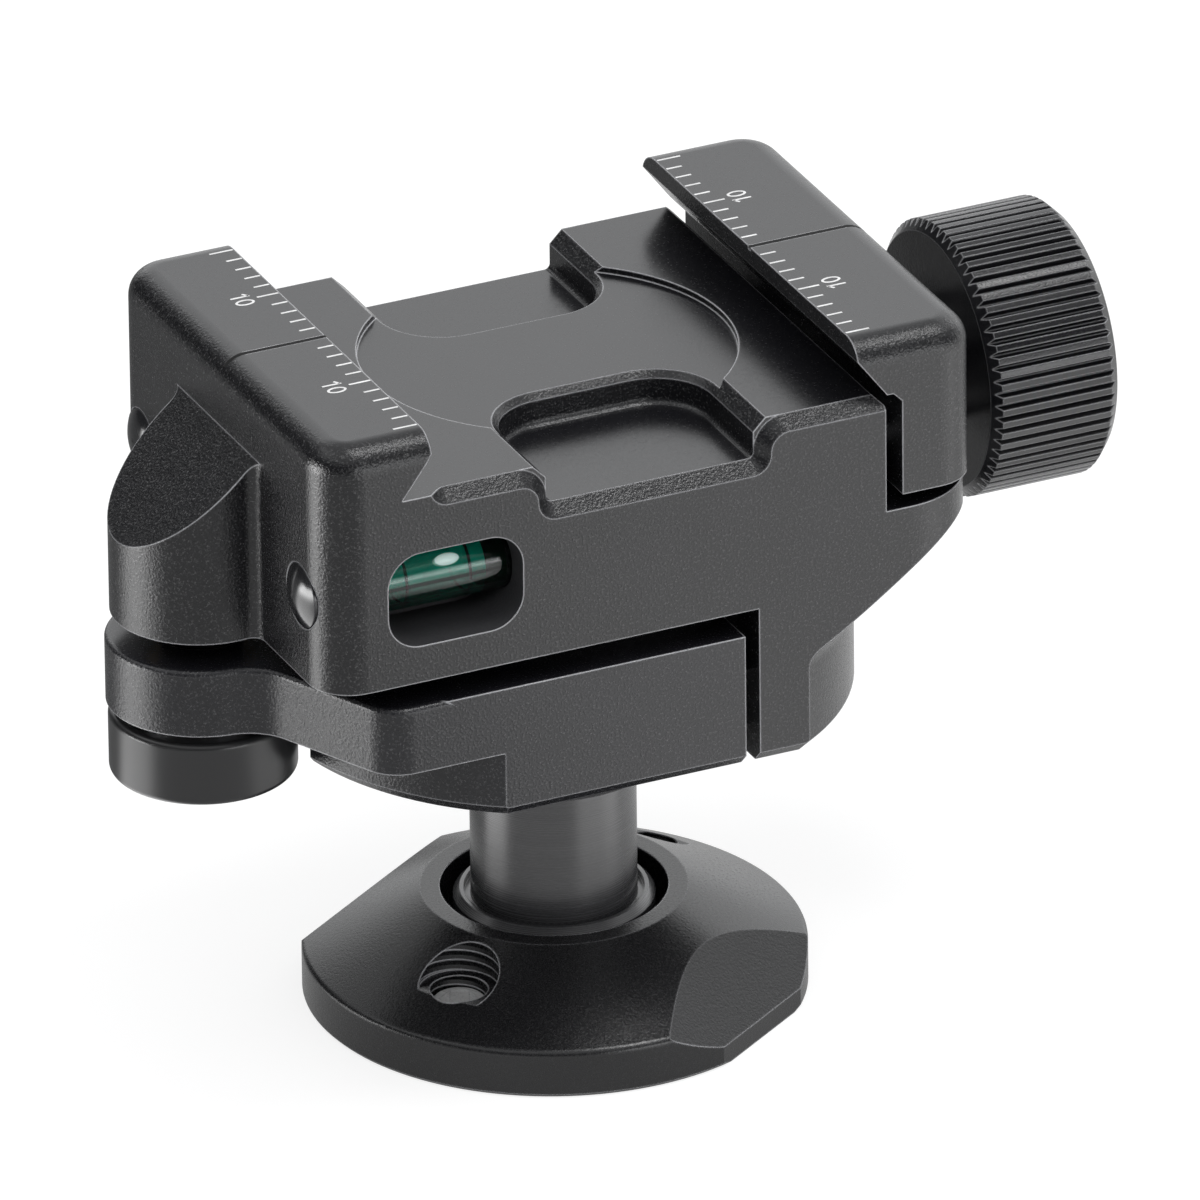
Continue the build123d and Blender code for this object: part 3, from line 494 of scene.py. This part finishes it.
# the clamp knob, with its straight knurl
knob = {
    "ridges": 66,
    "perRidge": 4,  # points round the knob for each ridge, one of them in the groove
    "firstPoint": 30,  # its turn in degrees, to be divided by the ridges
    "grooveHalf": 0.1,  # half of the groove's floor, as a share of the pitch
    "radius": 10.35,
    "grooveRadius": 9.8,
    "axisHeight": 43.9,
    "left": 30.9,
    "right": 41.1,
    "leftEdge": 9.55,
    "leftRun": 0.65,  # along the axis, of the chamfer beside the jaw
    "rightRun": 0.8,
    "dishRadius": 7.4,
    "dish": 0.5,
    "headRadius": 4.43,
    "headDepth": 4.7,
    "boreRadius": 2.53,
    "hubRadius": 4.8,
    "hubLeft": 27.0,
    "merge": 0.001,
}
knobLook = {
    "depth": 0.012,
    "topDepth": 1.0,
    "sparkle": 0.01,
    "roughness": 0.2,
    "edge": 0.18,
    "edgeWearGlintColour": colour(0.55, 0.55, 0.57),
    "edgeWearGlintAmount": 0.6,
}


# a further ring of faces, up to points at x and radius, and the edges at its far side
def knobRing(bm, edges, x, radius, grooveX=None, grooveRadius=None):
    made = bmesh.ops.extrude_edge_only(bm, edges=edges)["geom"]
    verts = {item for item in made if isinstance(item, bmesh.types.BMVert)}
    shapeRing(verts, x, radius, grooveX, grooveRadius)
    return [item for item in made if isinstance(item, bmesh.types.BMEdge) and verts.issuperset(item.verts)]


def shapeRing(verts, x, radius, grooveX=None, grooveRadius=None):
    pitch = 2 * pi / knob["ridges"]
    for vert in verts:
        spoke = Vector((0, vert.co.y, vert.co.z - knob["axisHeight"] * mm)).normalized()
        share = (atan2(spoke.z, spoke.y) / pitch) % 1
        inGroove = grooveX is not None and abs(share - 0.5) < knob["grooveHalf"]
        out, along = (grooveRadius, grooveX) if inGroove else (radius, x)
        vert.co = Vector((along, 0, knob["axisHeight"])) * mm + spoke * out * mm


def clampKnob():
    use = knob
    bm = bmesh.new()
    turn = Matrix.Translation((0, 0, use["axisHeight"] * mm)) @ Matrix.Rotation(radians(90), 4, "Y")
    turn = turn @ Matrix.Rotation(radians(use["firstPoint"]) / use["ridges"], 4, "Z")
    bmesh.ops.create_circle(bm, segments=use["perRidge"] * use["ridges"], radius=mm, matrix=turn)
    shapeRing(bm.verts, use["left"], use["leftEdge"])
    rise = (use["grooveRadius"] - use["leftEdge"]) / (use["radius"] - use["leftEdge"])
    fall = use["radius"] - use["grooveRadius"]
    leftRidge = use["left"] + use["leftRun"]
    rightRidge = use["right"] - use["rightRun"]
    grooveLeft = use["left"] + use["leftRun"] * rise
    edges = knobRing(bm, list(bm.edges), leftRidge, use["radius"], grooveLeft, use["grooveRadius"])
    edges = knobRing(bm, edges, rightRidge, use["radius"], rightRidge + fall, use["grooveRadius"])
    bore = use["right"] - use["headDepth"]
    for x, radius in (
        (use["right"], use["radius"] - use["rightRun"]),
        (use["right"], use["dishRadius"]),
        (use["right"] - use["dish"], use["dishRadius"] - use["dish"]),
        (use["right"] - use["dish"], use["headRadius"]),
        (bore, use["headRadius"]),
        (bore, use["boreRadius"]),
        (use["hubLeft"], use["boreRadius"]),
        (use["hubLeft"], use["hubRadius"]),
        (use["left"], use["hubRadius"]),
        (use["left"], use["leftEdge"]),
    ):
        edges = knobRing(bm, edges, x, radius)
    bmesh.ops.remove_doubles(bm, verts=bm.verts, dist=use["merge"] * mm)
    bmesh.ops.recalc_face_normals(bm, faces=bm.faces)
    piece = newPiece("knurled_knob", bm, blastedMetal("knobBlack", **knobLook), "clamp_knob")
    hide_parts("clamp_knob")


clampKnob()
print("knob knurled")

# spirit level
level = {
    "liquid": colour(0.0, 0.62, 0.42),
    "paleHighlight": colour(0.25, 0.95, 0.75),
    "shade": colour(0.0, 0.02, 0.008),
    "shadeSlope": (-0.35, 0.25),  # upward part of the normal, from painted shade to liquid
    "bandSlope": 0.3,  # and where the pale band of painted highlight along the tube lies
    "bandFade": (0.02, 0.14),
    "liquidRoughness": 0.15,
    "liquidIor": 1.36,
    "line": colour(0.01, 0.02, 0.02),
    "lineGap": 2.5,  # from the middle to each line
    "lineHalf": 0.12,
    "middle": -16.15,
    "end": -12.45,  # where the liquid ends
    "tube": colour(0.9, 1.0, 0.97),
    "tubeRoughness": 0.03,
    "tubeIor": 1.49,
    "bubble": (-15.3, -15.45, 44.55),
    "bubbleHalf": (1.05, 0.45, 0.45),
    "bubblePoints": (32, 20),  # round it and along it
    "bubbleHighlight": colour(0.85, 1.0, 0.97),
    "bubbleRimShade": colour(0.0, 0.12, 0.08),
    "bubbleBlend": 0.4,
    "bubbleRoughness": 0.1,
    "bubbleHighlightGlow": 0.45,
}


def levelLiquid():
    material, tree = newMaterial("levelLiquid")
    along = coordinates(tree)[0]
    up = coordinates(tree, "Normal")[2]
    fromMiddle = calc(tree, "ABSOLUTE", calc(tree, "SUBTRACT", along, level["middle"] * mm))
    fromLine = calc(tree, "ABSOLUTE", calc(tree, "SUBTRACT", fromMiddle, level["lineGap"] * mm))
    line = calc(tree, "LESS_THAN", fromLine, level["lineHalf"] * mm)
    # painted shade on the liquid's lower side and a pale band of painted highlight along it
    shadedLiquid = blend(tree, ramp(tree, up, *level["shadeSlope"]), level["shade"], level["liquid"])
    fromBand = calc(tree, "ABSOLUTE", calc(tree, "SUBTRACT", up, level["bandSlope"]))
    highlightBand = ramp(tree, fromBand, *level["bandFade"], 1.0, 0.0)
    tint = blend(tree, line, blend(tree, highlightBand, shadedLiquid, level["paleHighlight"]), level["line"])
    beyond = calc(tree, "GREATER_THAN", along, level["end"] * mm)
    tint = blend(tree, beyond, tint, level["shade"])
    inputs = {"Base Color": tint, "Roughness": level["liquidRoughness"], "IOR": level["liquidIor"]}
    endPrincipled(tree, inputs)
    return material


def levelAcrylic():
    material, tree = newMaterial("levelAcrylic")
    inputs = {"Base Color": level["tube"], "Roughness": level["tubeRoughness"], "IOR": level["tubeIor"]}
    endPrincipled(tree, {**inputs, "Transmission Weight": 1.0})
    return material


def bubbleMaterial():
    material, tree = newMaterial("levelBubble")
    # painted highlight: the bubble glows, pale where it faces the view and painted dark at its rim
    rim = addNode(tree, "LayerWeight", {"Blend": level["bubbleBlend"]}).outputs["Facing"]
    tint = blend(tree, rim, level["bubbleHighlight"], level["bubbleRimShade"])
    inputs = {"Base Color": tint, "Roughness": level["bubbleRoughness"]}
    endPrincipled(tree, {**inputs, "Emission Color": tint, "Emission Strength": level["bubbleHighlightGlow"]})
    return material


def levelBubble():
    bm = bmesh.new()
    size = Matrix.Diagonal((*(Vector(level["bubbleHalf"]) * mm), 1))
    shape = Matrix.Translation(Vector(level["bubble"]) * mm) @ size
    around, along = level["bubblePoints"]
    bmesh.ops.create_uvsphere(bm, u_segments=around, v_segments=along, radius=1, matrix=shape)
    newPiece("level_bubble", bm, bubbleMaterial(), "head")


coat(levelLiquid(), "vial_liquid")
coat(levelAcrylic(), "vial_tube", "vial_cap")
levelBubble()
print("spirit level dressed")

# scales cut and filled white on both jaws
marks = {
    "leftEdge": -17.5,  # of the fixed jaw, over the channel
    "leftWall": -26.0,
    "step": 1.6,
    "count": 10,  # on each side of the centre mark
    "width": 0.21,
    "inset": 0.12,
    "short": 1.23,
    "long": {5: 1.68, 10: 1.85},  # the fifth and tenth on each side
    "lift": 0.008,
    "digits": 2.93,  # from the jaw's edge to the middle of the number
    "digitsAt": 8.0,
    "digitsHigh": 1.5,
    "stroke": 0.2,
    "oneAt": -0.5,
    "flag": 0.42,
    "noughtAt": 0.42,
    "noughtHalf": 0.46,
    "noughtPoints": 28,
    "line": 0.36,  # width of the centre mark
    "lineOver": 50,  # degrees that it runs on down the rounded edge
    "lineSteps": 24,
    "round": 2.1,  # radius of that edge
}
paint = {"grain": 0.05, "depth": 0.003}


# a flat stroke from one point to another, in the number's own plane
def addStroke(bm, place, start, end):
    run = Vector((*end, 0)) - Vector((*start, 0))
    middle = Vector((start[0] + end[0], start[1] + end[1], 0)) / 2
    turn = Matrix.Rotation(atan2(run.y, run.x), 4, "Z")
    size = Matrix.Diagonal((run.length * mm, marks["stroke"] * mm, 1, 1))
    shape = place @ Matrix.Translation(middle * mm) @ turn @ size
    bmesh.ops.create_grid(bm, x_segments=1, y_segments=1, size=0.5, matrix=shape)


def addTen(bm, middle, reading, upward):
    turn = Matrix((reading, upward, reading.cross(upward))).transposed().to_4x4()
    place = Matrix.Translation(middle) @ turn
    high = marks["digitsHigh"] / 2
    stem = marks["oneAt"]
    addStroke(bm, place, (stem, -high), (stem, high))
    addStroke(bm, place, (stem - marks["flag"], high - marks["flag"]), (stem, high - marks["stroke"] / 2))
    centre = place @ Matrix.Translation((marks["noughtAt"] * mm, 0, 0))
    loops = []
    for inward in (0, marks["stroke"]):
        size = Matrix.Diagonal(((marks["noughtHalf"] - inward) * mm, (high - inward) * mm, 1, 1))
        made = bmesh.ops.create_circle(bm, segments=marks["noughtPoints"], radius=1, matrix=centre @ size)
        loops += dict.fromkeys(edge for vert in made["verts"] for edge in vert.link_edges)
    bmesh.ops.bridge_loops(bm, edges=loops)


# the black line across the middle of a jaw, which runs on over its rounded edge
def centreLine(name, body, edge, outward, wall):
    flat = abs(wall - edge) - marks["round"]
    arc = marks["round"] * radians(marks["lineOver"])
    reach = marks["round"] + marks["lift"]
    bm = bmesh.new()
    bmesh.ops.create_grid(bm, x_segments=marks["lineSteps"], y_segments=1, size=0.5)
    for vert in bm.verts:
        run = (vert.co.x + 0.5) * (flat + arc)
        side = vert.co.y * marks["line"]
        bend = max(0, run - flat) / marks["round"]
        out = edge + outward * (min(run, flat) + reach * sin(bend))
        vert.co = Vector((out, side, headTop - marks["round"] + reach * cos(bend))) * mm
    bmesh.ops.recalc_face_normals(bm, faces=bm.faces)
    newPiece(name, bm, lineBlack, body)


def jawScale(name, body, edge, outward):
    bm = bmesh.new()
    height = headTop + marks["lift"]
    for index in range(-marks["count"], marks["count"] + 1):
        if index == 0:
            continue  # the centre mark is cut into the jaw
        long = marks["long"].get(abs(index), marks["short"])
        middle = edge + outward * (marks["inset"] + long / 2)
        spot = Matrix.Translation(Vector((middle, index * marks["step"], height)) * mm)
        shape = spot @ Matrix.Diagonal((long * mm, marks["width"] * mm, 1, 1))
        bmesh.ops.create_grid(bm, x_segments=1, y_segments=1, size=0.5, matrix=shape)
    for side in (-1, 1):
        spot = Vector((edge + outward * marks["digits"], side * marks["digitsAt"], height)) * mm
        addTen(bm, spot, Vector((0, outward, 0)), Vector((-outward, 0, 0)))
    newPiece(name, bm, markPaint, body)


markPaint = plainPlastic("markWhite", colour(0.8, 0.8, 0.8), 0.5, **paint)
lineBlack = plainPlastic("lineBlack", colour(0.002, 0.002, 0.002), 0.8)
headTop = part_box("head_body")[1].z / mm
jawEdge, jawWall = (corner.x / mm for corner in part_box("moving_jaw"))
jawScale("left_scale", "head", marks["leftEdge"], -1)
jawScale("right_scale", "moving_jaw", jawEdge, 1)
centreLine("left_line", "head", marks["leftEdge"], -1, marks["leftWall"])
centreLine("right_line", "moving_jaw", jawEdge, 1, jawWall)
print("jaw scales made")

# floor and light, in metres
studio = {
    "floor": colour(0.82, 0.82, 0.82),
    "floorHalf": 4.0,
    "shadow": 0.30,  # part of the floor's look that takes shadows
    "shadowLight": 0.7,  # what that part adds where nothing shades it
    "mirror": 0.22,  # the floor as metal sees it, and the cards that stand round it:
    "mirrorCards": (  # turn, half width, glow
        (15, 55, 0.35),
        (112, 28, -0.3),
        (166, 10, 2.2),
        (306, 24, 0.85),
    ),
    "farGain": 3.5,  # what a card with a glow over 1 gains farther out
    "far": (0.12, 0.3),
    "near": 0.35,  # the floor close to the base, as metal sees it
    "nearEdge": (0.025, 0.038),
    "sky": 0.05,
    "skyTint": colour(0.98, 0.99, 1.0),
    "top": 0.6,
    "topHeights": (0.35, 0.75),
    "walls": (
        (52, 40, -0.2, 0.5, 1.25),  # turn, half width, lowest and highest height, glow
        (0, 30, -0.2, 0.6, 0.3),
        (155, 14, 0.62, 0.72, 0.9),
        (287, 9, -0.3, 0.08, 3.5),
    ),
    "wallFade": (0.05, 0.25),  # of a wall's lower and upper end
    "key": {"place": (0.36, -0.30, 1.3), "power": 4.2, "size": 0.42},
    "fill": {"place": (-0.3, -0.7, 1.3), "power": 8.0, "size": 1.6},  # hidden from reflections
}


def makeFloor():
    material, tree = newMaterial("floor")
    rays = addNode(tree, "LightPath").outputs
    mirrorRays = calc(tree, "ADD", rays["Is Glossy Ray"], rays["Is Transmission Ray"])
    seen = calc(tree, "ADD", rays["Is Camera Ray"], mirrorRays, clamp=True)
    lit = addNode(tree, "BsdfDiffuse", {"Color": studio["floor"]})
    part = addNode(tree, "BsdfDiffuse", {"Color": colour(*[studio["shadow"]] * 3)})
    x, y, _ = coordinates(tree)
    away = distance(tree, x, y)
    farther = ramp(tree, away, *studio["far"], 1.0, 1.0 + studio["farGain"])
    mirrored = studio["mirror"]
    for turn, half, glow in studio["mirrorCards"]:
        card = calc(tree, "MULTIPLY", towards(tree, x, y, turn, half), glow)
        if glow > 1:
            card = calc(tree, "MULTIPLY", card, farther)
        mirrored = calc(tree, "ADD", mirrored, card)
    inputs = {0: ramp(tree, away, *studio["nearEdge"]), 2: studio["near"], 3: mirrored}
    mirrored = addNode(tree, "Mix", inputs).outputs[0]
    toCamera = calc(tree, "MULTIPLY", rays["Is Camera Ray"], 1.0 - studio["shadow"] * studio["shadowLight"])
    toMetal = calc(tree, "MULTIPLY", calc(tree, "SUBTRACT", 1.0, rays["Is Camera Ray"]), mirrored)
    strength = calc(tree, "ADD", toCamera, toMetal)
    light = addNode(tree, "Emission", {"Color": colour(1, 1, 1), "Strength": strength})
    both = addNode(tree, "AddShader", {0: part.outputs[0], 1: light.outputs[0]})
    inputs = {0: seen, 1: lit.outputs[0], 2: both.outputs[0]}
    endMaterial(tree, addNode(tree, "MixShader", inputs).outputs[0])
    bm = bmesh.new()
    bmesh.ops.create_grid(bm, x_segments=1, y_segments=1, size=studio["floorHalf"])
    mesh = bpy.data.meshes.new("floor")
    bm.to_mesh(mesh)
    bm.free()
    mesh.materials.append(material)
    floor = bpy.data.objects.new("floor", mesh)
    scene.collection.objects.link(floor)


def makeWorld():
    world = bpy.data.worlds.new("studio")
    scene.world = world
    world.use_nodes = True
    tree = world.node_tree
    tree.nodes.clear()
    x, y, z = coordinates(tree, "Generated")
    strength = calc(tree, "ADD", studio["sky"], ramp(tree, z, *studio["topHeights"], 0.0, studio["top"]))
    lowFade, highFade = studio["wallFade"]
    for turn, half, low, high, glow in studio["walls"]:
        above = ramp(tree, z, low, low + lowFade)
        rise = calc(tree, "MULTIPLY", above, ramp(tree, z, high, high + highFade, 1.0, 0.0))
        wall = calc(tree, "MULTIPLY", towards(tree, x, y, turn, half), rise)
        strength = calc(tree, "ADD", strength, calc(tree, "MULTIPLY", wall, glow))
    sky = addNode(tree, "Background", {"Color": studio["skyTint"], "Strength": strength})
    white = addNode(tree, "Background", {"Color": colour(1, 1, 1), "Strength": 1.0})
    rays = addNode(tree, "LightPath").outputs
    mixed = addNode(tree, "MixShader", {0: rays["Is Camera Ray"], 1: sky.outputs[0], 2: white.outputs[0]})
    addNode(tree, "OutputWorld", {"Surface": mixed.outputs[0]})


def makeLamp(name):
    use = studio[name]
    data = bpy.data.lights.new(name, "AREA")
    data.shape = "DISK"
    data.size = use["size"]
    data.energy = use["power"]
    lamp = bpy.data.objects.new(name, data)
    lamp.location = use["place"]
    lamp.rotation_mode = "QUATERNION"
    lamp.rotation_quaternion = Vector(use["place"]).to_track_quat("Z", "Y")
    scene.collection.objects.link(lamp)
    return lamp


makeFloor()
makeWorld()
makeLamp("key")
makeLamp("fill").visible_glossy = False
print("floor and light set")
